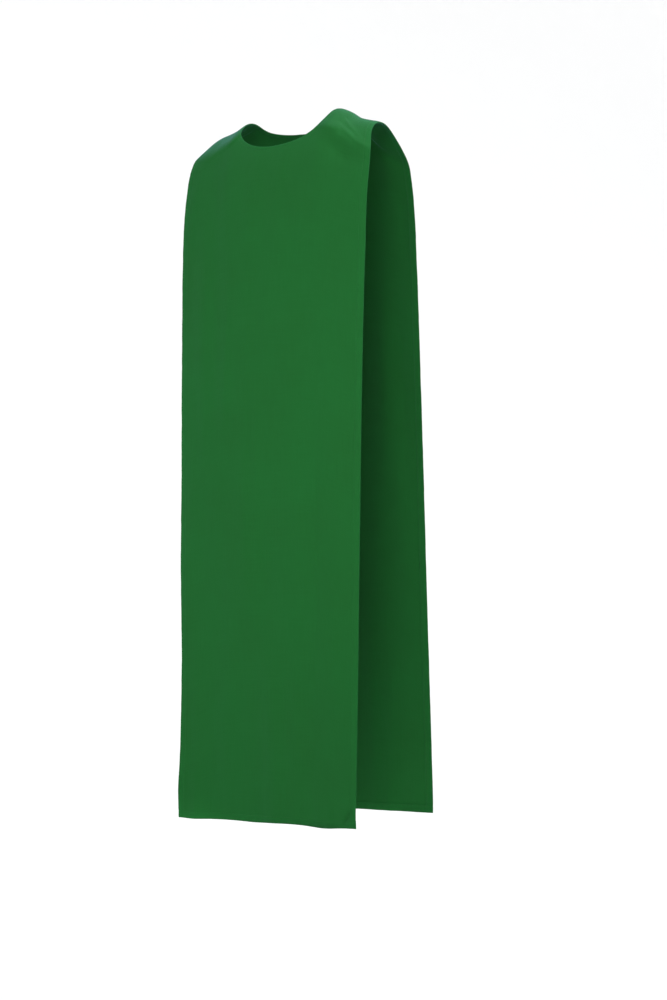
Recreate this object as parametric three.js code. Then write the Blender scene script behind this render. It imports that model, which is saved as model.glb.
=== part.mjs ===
// A choir scapular: a sleeveless vestment of two straight cloth panels, front and back, sewn together
// along a short shoulder seam on each side of a round neck and open down both sides. It stands as it is
// worn, hollow, with no wearer inside. Millimetres, +Z up. The wearer faces -Y and the wearer's left
// is +X. The origin is the middle of the shoulder line at neck height, where the shoulders carry it.

import * as THREE from 'three';

// ---- driving dimensions ----

const CLOTH_WALL = 2;
const SEAM_GAP = 0.3; // between the two panels along the shoulder seams
const PANEL_WIDTH = 356; // 14 inches, edge to edge
const SHOULDER_TO_HEM = 1169; // straight down from the neck end of the shoulder line
const NECK_LEFT = 86.5; // from the panel's middle to the neck edge on the shoulder line
const NECK_RIGHT = 88.5; // the neck sits a little to the wearer's right, as the cloth settled
const NECK_SQUARENESS = 2.2; // 2 is an ellipse, more is squarer

// Each panel's form, from its middle to its side edges. Reach is how far it stands from the shoulder
// line, round is the drop within which it turns from lying on the shoulder to hanging, and turn is how
// far the hem swings about the wearer.
const FRONT = {
  name: 'front_panel',
  facing: -1,
  neckDrop: 64,
  reach: 125,
  edgeReach: 93.5,
  round: 136,
  edgeRound: 95,
  hemReach: 126,
  edgeHemReach: 128,
  turn: 15,
};
const BACK = {
  name: 'back_panel',
  facing: 1,
  neckDrop: 19,
  reach: 104,
  edgeReach: 84,
  round: 95,
  edgeRound: 80,
  hemReach: 112,
  edgeHemReach: 116,
  turn: -6,
};
const FLARE_FROM = 250; // below this the panels swing from their chest reach to their hem reach

// How far the shoulder line drops below the neck on each side, by the distance out from the neck edge.
const SHOULDER_LINE = [
  { out: -14, left: 0, right: 0 },
  { out: 2, left: -0.5, right: 1.2 },
  { out: 20, left: 6, right: 7.5 },
  { out: 42, left: 18.5, right: 13.2 },
  { out: 66, left: 25.8, right: 16.5 },
  { out: 85, left: 30.5, right: 18.5 },
  { out: 95, left: 34, right: 20.5 },
];

// The side edges draw in as they pass over the shoulders.
const SHOULDER_DRAW = 15.5;
const DRAW_FALL = 43; // the draw fades within this drop
const DRAW_FROM = 80; // and starts this far from the panel's middle

// Where a side edge of the front wanders from a straight fall: how far out and how far forward.
const EDGE_WAVES = [
  { side: -1, fall: 900, spread: 130, out: -2.8, forward: 0 },
  { side: -1, fall: 1125, spread: 45, out: 1.8, forward: 3 },
];
const WAVE_FROM = 90; // a wave starts this far from the panel's middle

// Where the front hem droops.
const HEM_DROOPS = [
  { x: -150, spread: 40, droop: 1.6 },
  { x: -20, spread: 30, droop: 1.2 },
  { x: 112, spread: 34, droop: 3.2 },
];

// The largest folds. Each runs straight between two places on its panel, given by the distance from
// the panel's middle and the fall below the shoulder line, and stands out (or sinks in) by its height.
// All die away just before the shoulder seam, which holds the cloth still.
const FOLDS_FROM = 3; // fall at which they have their whole height
const FOLDS = [
  { on: FRONT, x0: 68, fall0: 38, x1: 188, fall1: 62, spread: 12, height: 2.6 },
  { on: FRONT, x0: 84, fall0: 66, x1: 176, fall1: 92, spread: 14, height: -1.8 },
  { on: FRONT, x0: -58, fall0: 36, x1: -192, fall1: 58, spread: 19, height: 2.6 },
  { on: FRONT, x0: -180, fall0: -20, x1: -188, fall1: 44, spread: 22, height: -6.5 },
  { on: FRONT, x0: -97, fall0: 150, x1: -101, fall1: 660, spread: 18, height: -2.2 },
  { on: FRONT, x0: -38, fall0: 330, x1: -34, fall1: 860, spread: 21, height: 2 },
  { on: FRONT, x0: 88, fall0: 470, x1: 92, fall1: 1040, spread: 19, height: -2.4 },
  { on: FRONT, x0: 24, fall0: 700, x1: 18, fall1: 1600, spread: 30, height: 2.2 },
  { on: FRONT, x0: -112, fall0: 760, x1: -106, fall1: 1700, spread: 26, height: -2.2 },
  { on: BACK, x0: 70, fall0: 30, x1: 190, fall1: 66, spread: 13, height: 2.4 },
  { on: BACK, x0: -68, fall0: 36, x1: -190, fall1: 54, spread: 12, height: 2.6 },
  { on: BACK, x0: -60, fall0: 60, x1: -118, fall1: 210, spread: 17, height: -2.2 },
  { on: BACK, x0: 58, fall0: 70, x1: 112, fall1: 190, spread: 16, height: -2 },
  { on: BACK, x0: 104, fall0: 210, x1: 96, fall1: 900, spread: 22, height: -2.8 },
  { on: BACK, x0: 22, fall0: 300, x1: 30, fall1: 1250, spread: 26, height: 2.6 },
  { on: BACK, x0: -58, fall0: 420, x1: -50, fall1: 1700, spread: 24, height: -3 },
  { on: BACK, x0: -126, fall0: 520, x1: -120, fall1: 1600, spread: 20, height: 2.4 },
];

// How finely each panel is divided.
const NECK_SPANS = 16;
const SHOULDER_SPANS = 6; // on each side of the neck
const ROUND_SPANS = 12; // down over the shoulder
const ROUND_SHARE = 0.1; // of the panel's length
const HANG_SPANS = 20;
const HEM_SPANS = 4;
const HEM_SHARE = 0.07;
const SLOPE_STEP = 0.05; // small step with which the cloth's slope is measured

// ---- the cloth's form ----

const HALF_WIDTH = PANEL_WIDTH / 2;
const NECK_MIDDLE = (NECK_LEFT - NECK_RIGHT) / 2;
const NECK_HALF = (NECK_LEFT + NECK_RIGHT) / 2;

const { clamp, lerp, smoothstep } = THREE.MathUtils;

/** A bell-shaped bump, 1 in its middle and nearly 0 at twice its spread. */
function bell(distance, spread) {
  return Math.exp(-((distance / spread) ** 2));
}

/** The slope of a table's column at one of its rows, from the rows on either side. */
function rowSlope(table, column, i) {
  const before = table[Math.max(i - 1, 0)];
  const after = table[Math.min(i + 1, table.length - 1)];
  return (after[column] - before[column]) / (after.out - before.out);
}

/** A table's column at a place between its rows, on a smooth curve through all of them. */
function tableAt(table, column, out) {
  const place = clamp(out, table[0].out, table[table.length - 1].out);
  const next = Math.max(1, table.findIndex((row) => row.out >= place));
  const a = table[next - 1];
  const b = table[next];
  const span = b.out - a.out;
  const t = (place - a.out) / span;
  const keepA = 2 * t ** 3 - 3 * t ** 2 + 1;
  const bendA = (t ** 3 - 2 * t ** 2 + t) * span * rowSlope(table, column, next - 1);
  const bendB = (t ** 3 - t ** 2) * span * rowSlope(table, column, next);
  return keepA * a[column] + bendA + (1 - keepA) * b[column] + bendB;
}

/** Height of the shoulder line at a distance from the panel's middle. */
function shoulderHeight(x) {
  const side = x > 0 ? 'left' : 'right';
  const neckEdge = x > 0 ? NECK_LEFT : NECK_RIGHT;
  return -tableAt(SHOULDER_LINE, side, Math.abs(x) - neckEdge);
}

/** How far the neckline lies below the shoulder line. */
function neckFall(panel, x) {
  const share = clamp(Math.abs(x - NECK_MIDDLE) / NECK_HALF, 0, 1);
  return panel.neckDrop * (1 - share ** NECK_SQUARENESS) ** (1 / NECK_SQUARENESS);
}

/** How far the hem lies below the shoulder line. */
function hemFall(panel, x) {
  const droops = panel === FRONT ? HEM_DROOPS : [];
  const droop = droops.reduce((sum, d) => sum + d.droop * bell(x - d.x, d.spread), 0);
  return shoulderHeight(x) + SHOULDER_TO_HEM + droop;
}

/** How far the folds lift the cloth at a place on its panel. */
function foldHeight(panel, x, fall) {
  let height = 0;
  for (const fold of FOLDS.filter((f) => f.on === panel)) {
    const run = new THREE.Vector2(fold.x1 - fold.x0, fold.fall1 - fold.fall0);
    const place = new THREE.Vector2(x - fold.x0, fall - fold.fall0);
    const share = clamp(place.dot(run) / run.lengthSq(), 0, 1);
    const aside = place.cross(run) / run.length();
    height += fold.height * Math.sin(Math.PI * share) * bell(aside, fold.spread);
  }
  return height * smoothstep(fall, 0, FOLDS_FROM);
}

/**
 * A point of the smooth cloth, without its folds. x is the distance from the panel's middle, measured
 * across the flat cloth, and rootFall is the square root of the fall below the shoulder line. On the
 * shoulder the cloth's depth grows in step with rootFall, so the two panels meet there in one smooth
 * dome, and lower down it settles at the panel's reach.
 */
function smoothPoint(panel, x, rootFall) {
  const fall = rootFall ** 2;
  const side = Math.sign(x);
  const edge = (x / HALF_WIDTH) ** 2;
  const z = shoulderHeight(x) - fall;
  const flare = clamp((-z - FLARE_FROM) / (SHOULDER_TO_HEM - FLARE_FROM), 0, 1);
  const chestReach = lerp(panel.reach, panel.edgeReach, edge);
  const hemReach = lerp(panel.hemReach, panel.edgeHemReach, edge);
  const round = lerp(panel.round, panel.edgeRound, edge);
  const depth = Math.sign(rootFall) * Math.sqrt(1 - Math.exp(-fall / round));
  const nearEdge = clamp((Math.abs(x) - DRAW_FROM) / (HALF_WIDTH - DRAW_FROM), 0, 1);
  let out = Math.abs(x) - SHOULDER_DRAW * nearEdge * bell(fall, DRAW_FALL);
  let reach = lerp(chestReach, hemReach, flare) * depth + (panel.turn * flare * x) / HALF_WIDTH;
  for (const wave of EDGE_WAVES.filter((w) => panel === FRONT && w.side === side)) {
    const onEdge = clamp((Math.abs(x) - WAVE_FROM) / (HALF_WIDTH - WAVE_FROM), 0, 1) ** 2;
    const strength = onEdge * bell(-z - wave.fall, wave.spread);
    out += wave.out * strength;
    reach += wave.forward * strength;
  }
  return new THREE.Vector3(side * out, panel.facing * (SEAM_GAP / 2 + reach), z);
}

/** The way the cloth's outer face looks at a place: square to its slopes across and down. */
function outward(panel, x, rootFall) {
  const right = smoothPoint(panel, x + SLOPE_STEP, rootFall);
  const left = smoothPoint(panel, x - SLOPE_STEP, rootFall);
  const lower = smoothPoint(panel, x, rootFall + SLOPE_STEP);
  const upper = smoothPoint(panel, x, rootFall - SLOPE_STEP);
  const across = right.sub(left).multiplyScalar(-panel.facing);
  return lower.sub(upper).cross(across).normalize();
}

// ---- the panels ----

/** Distances from the panel's middle at which it is divided, closest where the neckline is steep. */
function columnPlaces(panel) {
  const places = [];
  for (let i = 0; i <= SHOULDER_SPANS; i += 1) {
    places.push(lerp(-HALF_WIDTH, -NECK_RIGHT, i / SHOULDER_SPANS));
  }
  for (let i = 1; i < NECK_SPANS; i += 1) {
    places.push(NECK_MIDDLE - NECK_HALF * Math.cos((Math.PI * i) / NECK_SPANS));
  }
  for (let i = 0; i <= SHOULDER_SPANS; i += 1) {
    places.push(lerp(NECK_LEFT, HALF_WIDTH, i / SHOULDER_SPANS));
  }
  return panel.facing < 0 ? places : places.reverse();
}

/** Shares of the way from the panel's top edge to its hem at which it is divided. */
function rowShares() {
  const shares = [];
  for (let i = 0; i < ROUND_SPANS; i += 1) {
    shares.push(ROUND_SHARE * (i / ROUND_SPANS) ** 2);
  }
  for (let i = 0; i < HANG_SPANS; i += 1) {
    shares.push(lerp(ROUND_SHARE, 1 - HEM_SHARE, i / HANG_SPANS));
  }
  for (let i = 0; i <= HEM_SPANS; i += 1) {
    shares.push(lerp(1 - HEM_SHARE, 1, i / HEM_SPANS));
  }
  return shares;
}

/** Two triangles of a four-sided patch, wound so that they face out of the wall. */
function patch(a, b, c, d) {
  return [a, b, c, a, c, d];
}

/** A closed wall of cloth: an outer and an inner face on one grid, joined by a rim all round. */
function panelGeometry(panel) {
  const columns = columnPlaces(panel);
  const rows = rowShares();
  const across = columns.length;
  const outer = [];
  const inner = [];
  for (const share of rows) {
    for (const x of columns) {
      const fall = lerp(neckFall(panel, x), hemFall(panel, x), share);
      const middle = smoothPoint(panel, x, Math.sqrt(fall));
      const out = outward(panel, x, Math.sqrt(fall));
      const lift = foldHeight(panel, x, fall);
      outer.push(...middle.clone().addScaledVector(out, lift + CLOTH_WALL / 2));
      inner.push(...middle.clone().addScaledVector(out, lift - CLOTH_WALL / 2));
    }
  }
  const behind = rows.length * across;
  const lastRow = behind - across;
  const faces = [];
  for (let start = 0; start < lastRow; start += across) {
    for (let i = start; i < start + across - 1; i += 1) {
      const below = i + across;
      faces.push(...patch(i, below, below + 1, i + 1));
      faces.push(...patch(behind + i, behind + i + 1, behind + below + 1, behind + below));
    }
    const end = start + across - 1;
    faces.push(...patch(start, behind + start, behind + start + across, start + across));
    faces.push(...patch(end, end + across, behind + end + across, behind + end));
  }
  for (let i = 0; i < across - 1; i += 1) {
    const hem = lastRow + i;
    faces.push(...patch(i, i + 1, behind + i + 1, behind + i));
    faces.push(...patch(hem, behind + hem, behind + hem + 1, hem + 1));
  }
  const geometry = new THREE.BufferGeometry();
  geometry.setAttribute('position', new THREE.Float32BufferAttribute([...outer, ...inner], 3));
  geometry.setIndex(faces);
  geometry.computeVertexNormals();
  return geometry;
}

/** Matt, plain-woven polyester, dyed a deep green. */
function greenCloth() {
  return new THREE.MeshStandardMaterial({
    color: '#236732',
    roughness: 0.85,
    metalness: 0,
    side: THREE.DoubleSide,
  });
}

function clothPanel(panel) {
  const mesh = new THREE.Mesh(panelGeometry(panel), greenCloth());
  mesh.name = panel.name;
  return mesh;
}

const scapular = new THREE.Group();
scapular.name = 'scapular';
scapular.add(clothPanel(FRONT), clothPanel(BACK));

export default scapular;
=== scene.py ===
"""A choir scapular: two straight panels of matt green cloth, front and back, sewn together along a
short shoulder seam on each side of a round neck and open down both sides. It stands as it is worn,
hollow, with no wearer inside.

Lengths are millimetres and are turned to metres when a mesh is made. +Z is up, the wearer faces -Y,
the wearer's left is +X, and the origin is the middle of the shoulder line at neck height.

A place on a panel has two numbers: x, the distance from the panel's middle across the flat cloth, and
fall, how far it lies below the shoulder line. Near the shoulder seam the cloth lies almost level, so
there its square root, root, is used in place of fall.
"""

import math

import bpy
import numpy as np
from mathutils import Matrix, Vector


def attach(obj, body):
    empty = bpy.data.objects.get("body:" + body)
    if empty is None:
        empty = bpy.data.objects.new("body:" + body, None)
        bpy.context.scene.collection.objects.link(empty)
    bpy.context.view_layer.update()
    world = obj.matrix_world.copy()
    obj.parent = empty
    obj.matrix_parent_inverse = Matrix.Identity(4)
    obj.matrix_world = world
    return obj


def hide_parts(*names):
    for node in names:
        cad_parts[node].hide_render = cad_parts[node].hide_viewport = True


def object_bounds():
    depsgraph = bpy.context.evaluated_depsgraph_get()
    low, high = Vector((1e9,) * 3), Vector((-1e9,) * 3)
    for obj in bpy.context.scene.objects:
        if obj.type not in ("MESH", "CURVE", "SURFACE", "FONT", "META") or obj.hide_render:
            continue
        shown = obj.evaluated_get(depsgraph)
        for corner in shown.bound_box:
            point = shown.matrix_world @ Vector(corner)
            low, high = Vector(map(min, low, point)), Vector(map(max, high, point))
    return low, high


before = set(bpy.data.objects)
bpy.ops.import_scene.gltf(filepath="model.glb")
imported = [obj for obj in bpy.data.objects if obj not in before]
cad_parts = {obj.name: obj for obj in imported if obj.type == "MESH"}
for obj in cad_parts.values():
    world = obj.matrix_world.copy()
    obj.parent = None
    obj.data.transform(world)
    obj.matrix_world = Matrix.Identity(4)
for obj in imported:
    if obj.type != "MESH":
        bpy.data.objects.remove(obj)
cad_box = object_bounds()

MM = 0.001


def table(columns, *rows):
    """Rows of numbers as one array for each named column."""
    return dict(zip(columns.split(), np.array(rows, float).T))


def crossing(above, below, *rows):
    """A ridge or groove that runs across a panel: its spread above its line, its spread below, and the
    x, fall and height of the points that a smooth line runs through."""
    return above, below, table("x fall height", *sorted(rows))


# ---- the garment's sizes ----

HALF_WIDTH = 178.0  # a panel is 356 mm, or 14 inches, edge to edge
SHOULDER_TO_HEM = 1169.0  # straight down from the neck end of the shoulder line
NECK_LEFT = 86.5  # from a panel's middle to the neck edge on the shoulder line
NECK_RIGHT = 88.5  # the neck sits a little to the wearer's right, as the cloth settled
NECK_MIDDLE = (NECK_LEFT - NECK_RIGHT) / 2
NECK_HALF = (NECK_LEFT + NECK_RIGHT) / 2
NECK_SQUARENESS = 2.2  # 2 is an ellipse, more is squarer
NECK_LEVEL_SHARE = 0.6  # lines beside the neckline start level with it and are whole ellipses past here
NECK_FARTHEST = 1500.0  # more than any place on a panel lies from the neckline
NECK_HALVINGS = 40
FLARE_FROM = 250.0  # below this the panels swing from their chest reach to their hem reach
SHOULDER_DRAW = 15.5  # how far the side edges draw in as they pass over the shoulders
DRAW_FALL = 43.0  # the draw fades within this fall
DRAW_FROM = 80.0  # and starts this far from the panel's middle
WAVE_FROM = 90.0  # a wave of a side edge starts this far from the panel's middle
SEAM_HALF_GAP = 0.04  # from each panel's sewn edge to the seam's plane
SLOPE_STEP = 0.05  # small step with which the cloth's slope is measured

# Each panel's form, from its middle to its side edges. Reach is how far it stands from the shoulder
# line, at the chest and at the hem, round is the fall within which it turns from lying on the shoulder
# to hanging, and turn is how far the hem swings about the wearer. The neckline lies neck_drop below the
# shoulder line at its middle, and lines beside it lie neck_lean lower for each millimetre away. The two
# seeds start the draws of its ripples and of its soft unevenness.
FRONT = dict(
    name="front", facing=-1, neck_drop=64.0, neck_lean=0.90, reach=125.0, edge_reach=93.5,
    round=136.0, edge_round=95.0, hem_reach=126.0, edge_hem_reach=128.0, turn=15.0,
    ripple_seed=10, soft_seed=31,
)
BACK = dict(
    name="back", facing=1, neck_drop=19.0, neck_lean=0.69, reach=104.0, edge_reach=84.0,
    round=95.0, edge_round=80.0, hem_reach=112.0, edge_hem_reach=116.0, turn=-6.0,
    ripple_seed=20, soft_seed=32,
)

# How far the shoulder line drops below the neck on each side, by the distance out from the neck edge.
SHOULDER_LINE = table(
    "out left right",
    (-14, 0, 0),
    (2, -0.5, 1.2),
    (20, 6, 7.5),
    (42, 18.5, 13.2),
    (66, 25.8, 16.5),
    (85, 30.5, 18.5),
    (95, 34, 20.5),
)
# Where a side edge of the front wanders from a straight fall: how far out and how far forward.
EDGE_WAVES = table("side fall spread out forward", (-1, 900, 130, -2.8, 0), (-1, 1125, 45, 1.8, 3))
# Where the front's hem droops.
HEM_DROOPS = table("x spread droop", (-150, 40, 1.6), (-20, 30, 1.2), (112, 34, 3.2))

# The main folds, as in the solids. Each runs from one place to another and stands out (or sinks in) by
# its height.
FRONT["folds"] = table(
    "x0 fall0 x1 fall1 spread height",
    (68, 38, 188, 62, 12, 2.6),
    (84, 66, 176, 92, 14, -1.8),
    (-58, 36, -192, 58, 19, 2.6),
    (-180, -20, -188, 44, 22, -6.5),
    (-97, 150, -101, 660, 18, -2.2),
    (-38, 330, -34, 860, 21, 2),
    (88, 470, 92, 1040, 19, -2.4),
    (24, 700, 18, 1600, 30, 2.2),
    (-112, 760, -106, 1700, 26, -2.2),
)
BACK["folds"] = table(
    "x0 fall0 x1 fall1 spread height",
    (70, 30, 190, 66, 13, 2.4),
    (-68, 36, -190, 54, 12, 2.6),
    (-60, 60, -118, 210, 17, -2.2),
    (58, 70, 112, 190, 16, -2),
    (104, 210, 96, 900, 22, -2.8),
    (22, 300, 30, 1250, 26, 2.6),
    (-58, 420, -50, 1700, 24, -3),
    (-126, 520, -120, 1600, 20, 2.4),
)

# Creases too fine for the solids. A bow swings the middle of a crease aside by that much.
FRONT["creases"] = table(
    "x0 fall0 x1 fall1 spread height bow",
    # down from the shoulders' ridges
    (150, 62, 160, 190, 9, 0.6, 2),
    (-150, 66, -158, 230, 10, 0.6, -3),
    # strained below the neckline
    (20, 70, 24, 150, 12, 0.7, 0),
    (-34, 74, -66, 210, 10, -0.6, 4),
    (58, 72, 92, 230, 11, -0.6, -4),
    # long soft falls
    (22, 110, 44, 420, 16, 0.8, 3),
    (-66, 230, -84, 560, 9, 0.6, 2),
    (-21, 400, -24, 830, 8, -0.7, -2),
    (100, 520, 99, 980, 8, -0.8, 2),
    (145, 500, 144, 660, 9, -0.8, 0),
    (128, 620, 136, 1100, 13, 0.8, -3),
    (-134, 300, -128, 700, 10, 0.6, 3),
    (-70, 640, -60, 1130, 14, 0.7, -4),
    (-4, 880, -10, 1300, 15, -0.5, 2),
    (54, 760, 60, 1500, 12, 0.6, 3),
    (-146, 820, -150, 1400, 11, 0.6, 2),
    # at the hem
    (174, 1106, 150, 1142, 2.4, -1.7, 1),
    (176, 1120, 160, 1146, 5, 0.9, 0),
    (128, 1090, 120, 1240, 7, 0.9, 0),
    (96, 1110, 92, 1230, 6, -0.9, 1),
    (-142, 1060, -150, 1240, 9, 0.9, 0),
    (-88, 1100, -84, 1230, 8, -0.6, 0),
)
BACK["creases"] = table(
    "x0 fall0 x1 fall1 spread height bow",
    # down from the shoulders' ridges
    (144, 74, 156, 240, 9, 0.9, 2),
    (-150, 60, -160, 200, 10, -0.9, -3),
    # strained between the shoulders
    (-84, 34, 78, 44, 10, 0.8, 16),
    (-96, 66, 92, 78, 12, -0.8, 22),
    (-12, 40, -20, 190, 13, 1.0, 2),
    (46, 60, 70, 260, 10, -1.1, -4),
    (-52, 70, -78, 300, 11, 0.9, 5),
    # long soft falls
    (-84, 160, -98, 520, 11, 1.3, 4),
    (66, 240, 58, 640, 10, 1.1, -3),
    (136, 300, 140, 760, 12, 1.2, 3),
    (-10, 420, -4, 900, 9, -1.2, 2),
    (-88, 600, -92, 1120, 11, -1.1, -3),
    (60, 700, 70, 1300, 13, -1.3, 3),
    (116, 820, 122, 1400, 12, 1.1, -2),
    (-146, 700, -150, 1300, 10, -1.0, 2),
    # at the hem
    (-168, 1110, -150, 1142, 3, -1.0, 1),
    (-24, 1080, -20, 1240, 9, 1.1, 0),
    (92, 1090, 98, 1240, 8, -1.0, 0),
)

# Where the cloth breaks over the edge of the wearer's shoulders.
FRONT["shoulder_breaks"] = (
    # the wearer's left: the fullness above the break, the break itself, a groove above it, a fine ridge
    # above that, a pucker by the seam
    crossing(
        22, 20, (78, 41, 0), (100, 43, 1.6), (115, 40, 2.6), (126, 38, 2.8), (138, 41, 2.3),
        (152, 49, 1.1), (170, 56, 0),
    ),
    crossing(
        14, 4.5, (62, 47, 0), (78, 41, 0.7), (92, 44, 1.3), (106, 43, 1.5), (124, 37, 1.6),
        (138, 41, 1.5), (150, 48, 1.2), (164, 55, 0.9), (180, 60, 0.5),
    ),
    crossing(
        4.5, 3.5, (104, 24, 0), (112, 25, -0.4), (124, 28, -0.6), (137, 32, -0.5), (148, 39, -0.3),
        (158, 46, 0),
    ),
    crossing(
        4, 3.5, (110, 9, 0), (118, 14, 0.5), (126, 20, 0.7), (140, 27, 0.6), (154, 37, 0.3), (164, 45, 0),
    ),
    crossing(2.5, 3, (113, 10, 0), (121, 12, -0.6), (129, 16, 0)),
    # the wearer's right
    crossing(
        20, 4, (-62, 20, 0), (-79, 31, 1.1), (-90, 43, 1.4), (-106, 46, 1.0), (-124, 48, 0.9),
        (-137, 54, 0.8), (-150, 53, 0.6), (-165, 50, 0.3), (-180, 48, 0),
    ),
)
BACK["shoulder_breaks"] = (
    # the wearer's left: the break, and a groove above it
    crossing(
        15, 6, (58, 30, 0), (76, 34, 0.9), (98, 38, 1.4), (118, 47, 1.3), (140, 52, 1.5),
        (160, 63, 1.0), (180, 68, 0.4),
    ),
    crossing(4, 3.5, (98, 24, 0), (112, 32, -0.6), (130, 38, -0.7), (150, 50, 0)),
    # the wearer's right: the break, and a fine ridge above it
    crossing(
        13, 5, (-60, 36, 0), (-80, 38, 1.0), (-104, 45, 1.5), (-122, 44, 1.3), (-142, 50, 1.4),
        (-162, 55, 0.9), (-180, 56, 0.3),
    ),
    crossing(3.5, 4, (-100, 22, 0), (-116, 30, 0.5), (-134, 34, 0.6), (-152, 42, 0)),
)

# Where the last of the cloth above the hem curls under (-) or kicks out (+), how far up that reaches,
# and how much darker (-) or lighter (+) its colour is painted there: painted shade where it curls under,
# painted light where it kicks out.
FRONT["hem_rolls"] = table(
    "x spread height reach shade",
    (112, 50, -4.0, 17, -0.30),
    (-150, 46, 3.0, 48, 0.26),
    (10, 60, -1.8, 10, -0.16),
)
BACK["hem_rolls"] = table(
    "x spread height reach shade",
    (-96, 46, -2.4, 18, -0.2),
    (60, 50, 1.8, 36, 0.14),
    (150, 24, -1.4, 14, -0.14),
)

# Creases at the hem whose colour is painted darker, as painted shade in the crease: here the height is
# how much darker.
FRONT["worn_creases"] = table(
    "x0 fall0 x1 fall1 spread height",
    (175, 1104, 152, 1140, 2.2, -0.2),
)
BACK["worn_creases"] = table(
    "x0 fall0 x1 fall1 spread height",
    (-169, 1108, -150, 1142, 2.4, -0.16),
)

# ---- how it is sewn ----

CLOTH = 0.5  # one layer
SIDE_HEM = 12.5  # turned under twice, like the hem and the neck's edge
HEM = 12.5
NECK_HEM = 7.5
SEAM_ALLOWANCE = 12.0  # pressed open, inside the shoulders
HEM_LAYERS = 2  # turned under behind the face layer
SEAM_LAYERS = 1
FOLD_RADIUS = 0.75  # of the rounded outer fold of a turned edge
STITCH_IN = 1.6  # from the inner border of what is turned under to its stitch line
STITCH_PULL = 0.20  # how far the stitches draw each face in
OUTER_PULL_SPREAD = 0.9
INNER_PULL_SPREAD = 0.7
HEM_SWELL = 0.08  # how far the outer face stands out over what is turned under
SWELL_END = (-1.5, 1.5)  # where the swell fades out, past the stitch line
STEP_END = (-0.1, 0.5)  # where the inner face steps down to one layer, past what is turned under
EDGE_HIGHLIGHT_FADE = (-2.5, 1.5)  # where the painted highlight of the pressed and handled edges fades, past the same
SEAM_HOLDS = 14.0  # folds and creases die away within this distance of the shoulder seam

# Each turned edge: its distance in places(), the width of what is turned under, the layers of that, and
# whether it is stitched down.
EDGES = (
    ("from_side", SIDE_HEM, HEM_LAYERS, True),
    ("from_hem", HEM, HEM_LAYERS, True),
    ("from_neck", NECK_HEM, HEM_LAYERS, True),
    ("from_seam", SEAM_ALLOWANCE, SEAM_LAYERS, False),
)

# How sewn edges ripple: how high, the longest wave along the edge, and how fast it dies into the panel.
SIDE_RIPPLE = dict(height=0.62, right_wave=96.0, left_wave=104.0, fade=15.0)
HEM_RIPPLE = dict(height=0.55, wave=84.0, fade=17.0)
NECK_RIPPLE = dict(height=0.30, wave=92.0, fade=9.0)
FOLD_STIFFENS = (-6.0, 7.0)  # a side ripple is lower at the fold itself and whole 7 mm inside it
SIDE_RIPPLE_FROM = (20, 120)  # down from the shoulder seam, which holds the cloth still
NECK_RIPPLE_FROM = (0, 30)
NECK_RADIUS = 100.0  # turns an angle round the neck into a length along it

# A wandering line is a sum of sine waves, each shorter and lower than the one before.
WANDER_WAVES = 7
WANDER_SHORTER = 1.47
WANDER_LOWER = 0.82
WANDER_WHOLE = 2.4  # divides the sum, which brings it between about -1 and 1

# The cloth's soft unevenness: how many waves, and the ranges from which each is drawn.
SOFT_WAVES = 26
SOFT_WIDTHS = (46, 150)
SOFT_LENGTHS = (260, 900)
SOFT_HEIGHTS = (0.05, 0.15)
SOFT_PHASES = (0, 6.28)
SOFT_FROM = (10, 160)  # down from the shoulder seam


def bell(distance, spread):
    """A bell-shaped bump, 1 in its middle and nearly 0 at twice its spread."""
    return np.exp(-((distance / spread) ** 2))


def smooth(low, high, value):
    """0 below low, 1 above high, and a smooth step between them."""
    share = np.clip((value - low) / (high - low), 0, 1)
    return share * share * (3 - 2 * share)


def lerp(a, b, share):
    """The value a share of the way from a to b."""
    return a + (b - a) * share


def rows_of(columns):
    """A table's rows, one at a time, each as a dictionary."""
    names = list(columns)
    for values in zip(*columns.values()):
        yield dict(zip(names, (float(v) for v in values)))


def through(knots, heights, at):
    """A smooth curve through given points: cubic pieces whose slope at each point is that between
    its two neighbours."""
    slopes = np.gradient(heights, knots)
    at = np.clip(at, knots[0], knots[-1])
    i = np.clip(np.searchsorted(knots, at, side="right") - 1, 0, len(knots) - 2)
    span = knots[i + 1] - knots[i]
    t = (at - knots[i]) / span
    bend = (t**3 - 2 * t**2 + t) * slopes[i] + (t**3 - t**2) * slopes[i + 1]
    return lerp(heights[i], heights[i + 1], 3 * t**2 - 2 * t**3) + span * bend


# ---- the cloth's form ----


def shoulder_height(x):
    """Height of the shoulder line: on each side of the neck a smooth curve through its table."""
    line = SHOULDER_LINE
    left = through(line["out"], line["left"], x - NECK_LEFT)
    right = through(line["out"], line["right"], -x - NECK_RIGHT)
    return -np.where(x > 0, left, right)


def hem_fall(panel, x):
    """How far the hem lies below the shoulder line: level but for its droops, each a bell across."""
    fall = shoulder_height(x) + SHOULDER_TO_HEM
    if panel is FRONT:
        for d in rows_of(HEM_DROOPS):
            fall = fall + d["droop"] * bell(x - d["x"], d["spread"])
    return fall


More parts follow.
